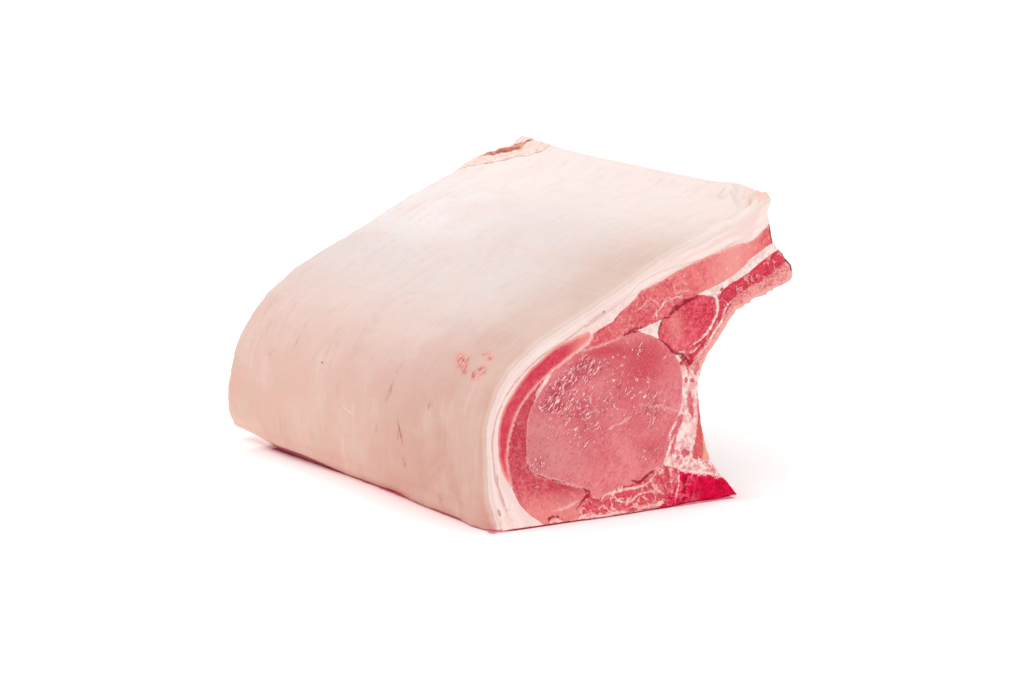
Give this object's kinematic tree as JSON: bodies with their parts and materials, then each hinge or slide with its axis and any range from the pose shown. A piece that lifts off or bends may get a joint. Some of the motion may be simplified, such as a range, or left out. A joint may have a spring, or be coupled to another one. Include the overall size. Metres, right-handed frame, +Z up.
{
  "type": "bone-in pork loin",
  "caption": "Raw bone-in pork loin joint with smooth rind and back fat, a large pale eye muscle, a flap with fat layers, ribs and a split backbone, cut flat at both ends.",
  "frame": {"origin": "middle of the footprint at table height, under the joint as it stands on its split backbone", "axes": "+Z up, +Y from the cut face that the picture shows towards the far one, +X from the rind side to the rib side"},
  "size_m": [0.1788, 0.23, 0.1419],
  "materials": {
    "rind": "smooth pale pig skin over white-pink fat",
    "fat": "moist pale pink-white fat",
    "pale_lean": "moist pale pink lean meat",
    "lean": "moist pink lean meat with fine fat",
    "dark_lean": "moist deep pink lean meat",
    "bone": "pink rib bone under a thin film of flesh",
    "marrow": "wet crimson cut face of the backbone"
  },
  "bodies": {
    "root": {"back_fat": "rind", "cap_muscle": "dark_lean", "bottom_muscle": "lean", "loin_eye": "pale_lean", "flap_muscle": "lean", "side_muscle": "dark_lean", "fat_wedge": "fat", "inner_fat": "fat", "multifidus": "lean", "rib_wall": "lean", "chine_bone": "marrow", "rib_1": "bone", "rib_2": "bone", "rib_3": "bone", "rib_4": "bone", "rib_5": "bone", "rib_6": "bone", "rib_7": "bone", "rib_8": "bone"}
  },
  "joints": []
}
